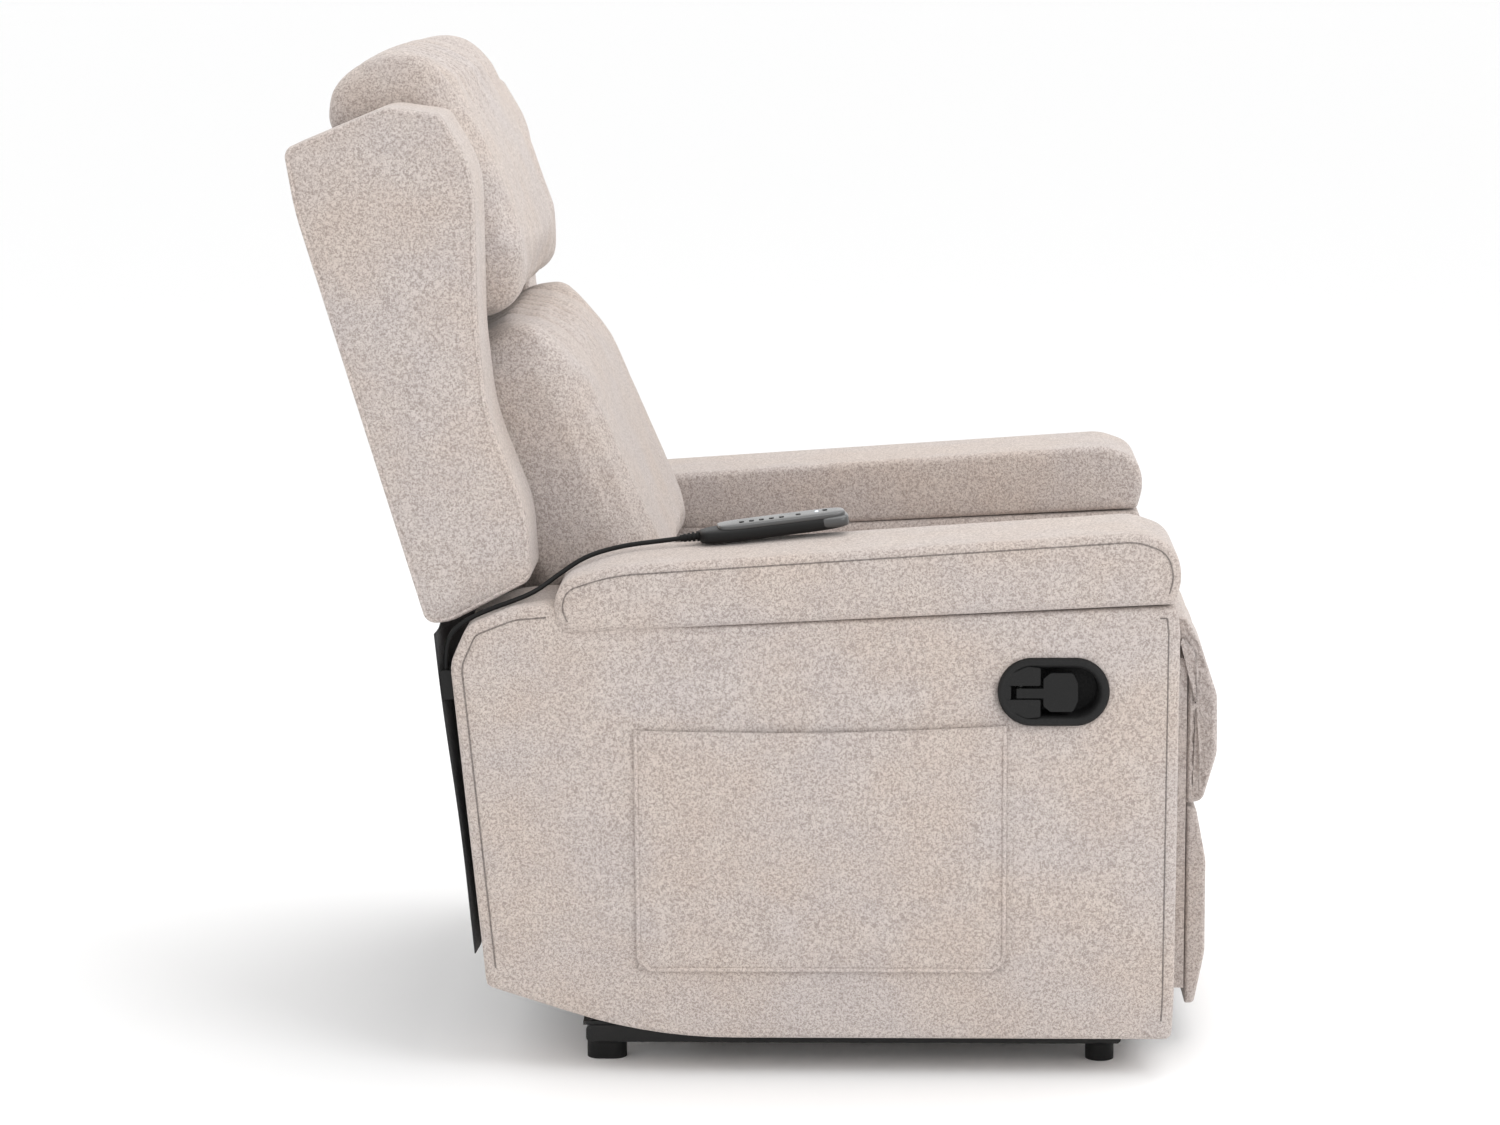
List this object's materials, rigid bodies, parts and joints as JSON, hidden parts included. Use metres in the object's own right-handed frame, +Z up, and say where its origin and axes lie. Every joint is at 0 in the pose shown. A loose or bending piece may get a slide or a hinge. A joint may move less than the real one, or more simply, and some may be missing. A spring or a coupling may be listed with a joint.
{
  "type": "massage recliner chair",
  "caption": "Wing-back reclining massage chair in soft fabric, with a tilting body, folding back, lever-released footrest and corded handset.",
  "frame": {"origin": "on the floor, under the middle of the chair's box", "axes": "+X to the chair's front, +Y to the sitter's left, +Z up"},
  "size_m": [0.9587, 0.758, 1.0558],
  "materials": {
    "chenille": "soft woven pile, greige",
    "dark_cloth": "dark non-woven backing cloth",
    "black_steel": "satin black paint",
    "plated_steel": "zinc plated",
    "foot_rubber": "matte",
    "cord_rubber": "satin",
    "black_plastic": "fine texture",
    "grey_gloss": "glossy",
    "board": "plywood, covered"
  },
  "bodies": {
    "base": {"base_rail_right": "black_steel", "base_rail_left": "black_steel", "base_tube_front": "black_steel", "base_tube_rear": "black_steel", "front_foot_right": "foot_rubber", "front_foot_left": "foot_rubber", "rear_foot_right": "foot_rubber", "rear_foot_left": "foot_rubber", "tilt_bracket_right": "black_steel", "tilt_bracket_left": "black_steel"},
    "body": {"tilt_pins": "plated_steel", "arm_box_right": "board", "arm_box_left": "board", "arm_panel_right": "chenille", "arm_panel_left": "chenille", "arm_pad_right": "chenille", "arm_pad_left": "chenille", "side_pocket": "chenille", "latch_bezel": "black_plastic", "lever_pin": "plated_steel", "lever_spring": "plated_steel", "seat_tube_front": "black_steel", "seat_tube_rear": "black_steel", "seat_springs": "black_steel", "seat_cushion": "chenille", "mechanism_plate_right": "black_steel", "mechanism_plate_left": "black_steel", "rear_cover": "dark_cloth", "control_box": "black_plastic", "power_inlet": "black_plastic", "cord_gland": "black_plastic", "handset_cord": "cord_rubber", "handset_body": "black_plastic", "handset_cover": "grey_gloss", "cord_boot": "cord_rubber"},
    "backrest": {"back_shell": "board", "wing_right": "chenille", "wing_left": "chenille", "head_cushion": "chenille", "lumbar_cushion": "chenille", "back_post_right": "black_steel", "back_post_left": "black_steel", "massage_motors": "black_plastic"},
    "footrest": {"footrest_board": "board", "footrest_pad": "chenille", "calf_pad": "chenille", "board_brackets": "black_steel"},
    "guide_bars": {"guide_bars": "black_steel"},
    "swing_bars": {"swing_bars": "black_steel"},
    "top_bars": {"top_bars": "black_steel"},
    "low_bars": {"low_bars": "black_steel"},
    "release_lever": {"release_lever": "black_plastic"},
    "button_1": {"button_1": "black_plastic"},
    "button_2": {"button_2": "black_plastic"},
    "button_3": {"button_3": "black_plastic"},
    "button_4": {"button_4": "black_plastic"},
    "button_5": {"button_5": "black_plastic"},
    "button_6": {"button_6": "black_plastic"},
    "button_7": {"button_7": "black_plastic"}
  },
  "joints": [
    {"name": "recline_tilt", "type": "hinge", "parent": "base", "child": "body", "pos_m": [-0.165, 0, 0.092], "axis": [0, -1, 0], "range_deg": [0, 8]},
    {"name": "back_recline", "type": "hinge", "parent": "body", "child": "backrest", "pos_m": [-0.15, 0, 0.3], "axis": [0, -1, 0], "range_deg": [0, 28]},
    {"name": "footrest_open", "type": "hinge", "parent": "body", "child": "footrest", "pos_m": [0.434, 0, 0.436], "axis": [0, -1, 0], "range_deg": [0, 85]},
    {"name": "guide_bar_swing", "type": "hinge", "parent": "body", "child": "guide_bars", "pos_m": [0.224, 0, 0.326], "axis": [0, -1, 0], "range_deg": [0, 85]},
    {"name": "swing_bar_swing", "type": "hinge", "parent": "body", "child": "swing_bars", "pos_m": [0.274, 0, 0.376], "axis": [0, -1, 0], "range_deg": [0, 85]},
    {"name": "top_bar_turn", "type": "hinge", "parent": "swing_bars", "child": "top_bars", "pos_m": [0.25554, 0, 0.22714], "axis": [0, -1, 0], "range_deg": [-85, 0]},
    {"name": "low_bar_turn", "type": "hinge", "parent": "swing_bars", "child": "low_bars", "pos_m": [0.242, 0, 0.11798], "axis": [0, -1, 0], "range_deg": [-85, 0]},
    {"name": "lever_pull", "type": "hinge", "parent": "body", "child": "release_lever", "pos_m": [0.268, -0.368, 0.4105], "axis": [0, 0, -1], "range_deg": [0, 25], "stiffness_Nm_per_rad": 0.4, "springref_deg": -5.73, "deforming": ["lever_spring"]},
    {"name": "button_1_press", "type": "slide", "parent": "body", "child": "button_1", "axis": [0.1052, 0, -0.9945], "range_m": [0, 0.0008], "stiffness_N_per_m": 600, "springref_m": -0.0005},
    {"name": "button_2_press", "type": "slide", "parent": "body", "child": "button_2", "axis": [0.1052, 0, -0.9945], "range_m": [0, 0.0008], "stiffness_N_per_m": 600, "springref_m": -0.0005},
    {"name": "button_3_press", "type": "slide", "parent": "body", "child": "button_3", "axis": [0.1052, 0, -0.9945], "range_m": [0, 0.0008], "stiffness_N_per_m": 600, "springref_m": -0.0005},
    {"name": "button_4_press", "type": "slide", "parent": "body", "child": "button_4", "axis": [0.1052, 0, -0.9945], "range_m": [0, 0.0008], "stiffness_N_per_m": 600, "springref_m": -0.0005},
    {"name": "button_5_press", "type": "slide", "parent": "body", "child": "button_5", "axis": [0.1052, 0, -0.9945], "range_m": [0, 0.0008], "stiffness_N_per_m": 600, "springref_m": -0.0005},
    {"name": "button_6_press", "type": "slide", "parent": "body", "child": "button_6", "axis": [0.1052, 0, -0.9945], "range_m": [0, 0.0008], "stiffness_N_per_m": 600, "springref_m": -0.0005},
    {"name": "button_7_press", "type": "slide", "parent": "body", "child": "button_7", "axis": [0.1052, 0, -0.9945], "range_m": [0, 0.0008], "stiffness_N_per_m": 600, "springref_m": -0.0005}
  ],
  "couplings": [
    {"joint": "back_recline", "follows": "recline_tilt", "ratio": 3.5},
    {"joint": "guide_bar_swing", "follows": "footrest_open", "ratio": 1},
    {"joint": "swing_bar_swing", "follows": "footrest_open", "ratio": 1},
    {"joint": "top_bar_turn", "follows": "footrest_open", "ratio": -1},
    {"joint": "low_bar_turn", "follows": "footrest_open", "ratio": -1}
  ]
}
